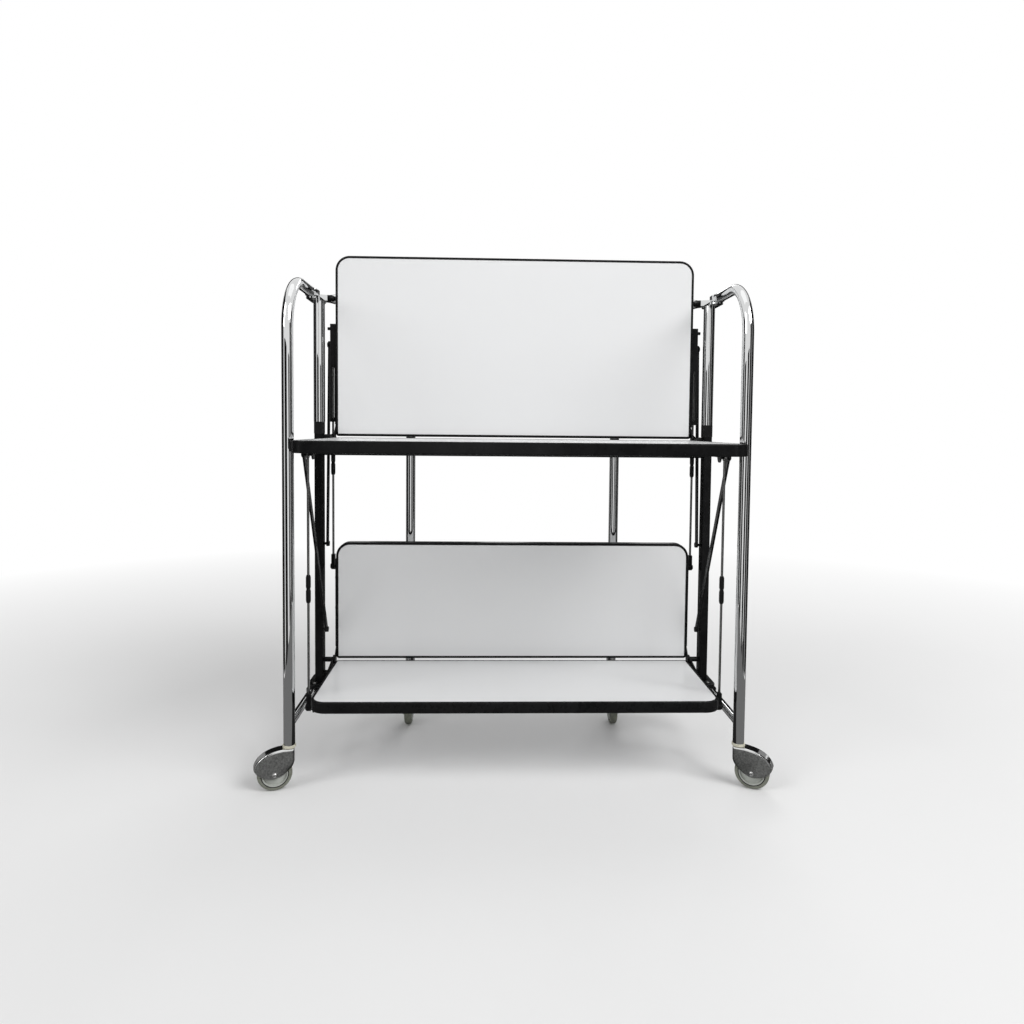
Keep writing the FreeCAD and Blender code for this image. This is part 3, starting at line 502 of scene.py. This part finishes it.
def flat_sheet(name, width, height):
    """Flat rectangle about its own origin."""
    x, y = width / 2.0, height / 2.0
    mesh = bpy.data.meshes.new(name)
    mesh.from_pydata([(-x, -y, 0.0), (x, -y, 0.0), (x, y, 0.0), (-x, y, 0.0)], [],
                     [(0, 1, 2, 3)])
    sheet = bpy.data.objects.new(name, mesh)
    bpy.context.collection.objects.link(sheet)
    return sheet


def seen_ray(tree):
    """1 for a camera, glossy or transmission ray, else 0."""
    path = tree.nodes.new("ShaderNodeLightPath")
    value = path.outputs["Is Camera Ray"]
    for name in ("Is Glossy Ray", "Is Transmission Ray"):
        either = tree.nodes.new("ShaderNodeMath")
        either.operation = "MAXIMUM"
        tree.links.new(value, either.inputs[0])
        tree.links.new(path.outputs[name], either.inputs[1])
        value = either.outputs["Value"]
    return value


def floor():
    """Pale floor that fades to the white surround away from the object."""
    ground = flat_sheet("studio_floor", 2.0 * FLOOR_REACH, 2.0 * FLOOR_REACH)
    finish = Finish("pale_floor", FLOOR_PALE, roughness=0.8, specular=0.0)
    finish.colour_from(finish.mottled(FLOOR_PALE, 0.97, scale=1.2, detail=3.0))
    finish.bump(finish.noise(scale=160.0, detail=3.0), strength=0.05, distance=0.0006)
    tree = finish.tree
    away = tree.nodes.new("ShaderNodeVectorMath")
    away.operation = "LENGTH"
    finish.link(finish.coords.outputs["Object"], away.inputs[0])
    fade = finish.ranged(away.outputs["Value"], 0.0, 1.0, *FLOOR_FADE)
    factor = tree.nodes.new("ShaderNodeMath")
    factor.operation = "MULTIPLY"
    finish.link(fade, factor.inputs[0])
    finish.link(seen_ray(tree), factor.inputs[1])
    white = tree.nodes.new("ShaderNodeEmission")
    mixed = tree.nodes.new("ShaderNodeMixShader")
    finish.link(factor.outputs["Value"], mixed.inputs["Fac"])
    finish.link(finish.shader.outputs["BSDF"], mixed.inputs[1])
    finish.link(white.outputs["Emission"], mixed.inputs[2])
    finish.link(mixed.outputs["Shader"], tree.nodes["Material Output"].inputs["Surface"])
    ground.data.materials.append(finish.material)


def world():
    """White where it is seen or reflected; a softer pale light for the rest."""
    scene = bpy.context.scene
    scene.world = bpy.data.worlds.new("studio_world")
    scene.world.use_nodes = True
    tree = scene.world.node_tree
    background = tree.nodes["Background"]
    background.inputs["Color"].default_value = (1.0, 1.0, 1.0, 1.0)
    strength = tree.nodes.new("ShaderNodeMapRange")
    strength.inputs["To Min"].default_value = WORLD_DIFFUSE
    strength.inputs["To Max"].default_value = WORLD_SEEN
    tree.links.new(seen_ray(tree), strength.inputs["Value"])
    tree.links.new(strength.outputs["Result"], background.inputs["Strength"])


def softbox(name, at, size, watts):
    """Rectangular lamp that aims at the object."""
    light =bpy.data.lights.new(name, "AREA")
    light.shape = "RECTANGLE"
    light.size, light.size_y = size
    light.energy = watts
    lamp = bpy.data.objects.new(name, light)
    lamp.location = at
    toward = Vector(LAMP_AIM) - Vector(at)
    lamp.rotation_euler = toward.to_track_quat("-Z", "Y").to_euler()
    bpy.context.collection.objects.link(lamp)


def grey_card(name, width, height, grey):
    """Flat card that only reflections see, for contrast in the chrome."""
    card = flat_sheet(name, width, height)
    material = bpy.data.materials.new(name)
    material.use_nodes = True
    tree = material.node_tree
    glow = tree.nodes.new("ShaderNodeEmission")
    glow.inputs["Color"].default_value = (grey, grey, grey, 1.0)
    tree.links.new(glow.outputs["Emission"], tree.nodes["Material Output"].inputs["Surface"])
    card.data.materials.append(material)
    card.visible_camera = False
    card.visible_shadow = False
    card.visible_diffuse = False
    return card


def cards():
    """Cards that stand round the object, and cards that lie just over the floor."""
    for number, (first, last, height, grey) in enumerate(STANDING_CARDS):
        width = 2.0 * CARD_RADIUS * math.tan(math.radians(last - first) / 2.0)
        card = grey_card("grey_card_%02d" % number, width, height, grey)
        angle = math.radians((first + last) / 2.0)
        card.location = (CARD_RADIUS * math.sin(angle), -CARD_RADIUS * math.cos(angle),
                         CARD_FOOT + height / 2.0)
        card.rotation_euler = (math.pi / 2.0, 0.0, angle)
    for name, (width, depth), z, grey in LYING_CARDS:
        card = grey_card(name, width, depth, grey)
        card.location = (0.0, 0.0, z)


def studio():
    """Floor, surround, lamps and cards."""
    bpy.context.scene.view_settings.view_transform = "Standard"
    floor()
    world()
    for name, at, size, watts in LAMPS:
        softbox(name, at, size, watts)
    cards()


def camera():
    """Camera with the picture's lens, place and aim."""
    data = bpy.data.cameras.new("photo_camera")
    data.sensor_width = SENSOR_MM
    data.sensor_fit = "HORIZONTAL"
    data.lens = SENSOR_MM * FOCAL_PX / PHOTO_PX
    data.shift_y = -(PHOTO_PX / 2.0 - CENTRE_PX_Y) / PHOTO_PX
    data.clip_start = CLIP_START
    eye = bpy.data.objects.new("photo_camera", data)
    turn = (Matrix.Rotation(-YAW, 4, "Z") @ Matrix.Rotation(math.pi / 2 - PITCH, 4, "X")
            @ Matrix.Rotation(ROLL, 4, "Z"))
    eye.matrix_world = Matrix.Translation(CAMERA_AT) @ turn
    bpy.context.collection.objects.link(eye)
    bpy.context.scene.camera = eye


finishes = dress_nodes()
bracket_screws(finishes["zinc"])
axle_caps(burnished_steel())
# Dark beads on the wheels: painted shade in the gap between hub and tyre.
gap_shade_beads(finishes["black_plastic"])
studio()
camera()
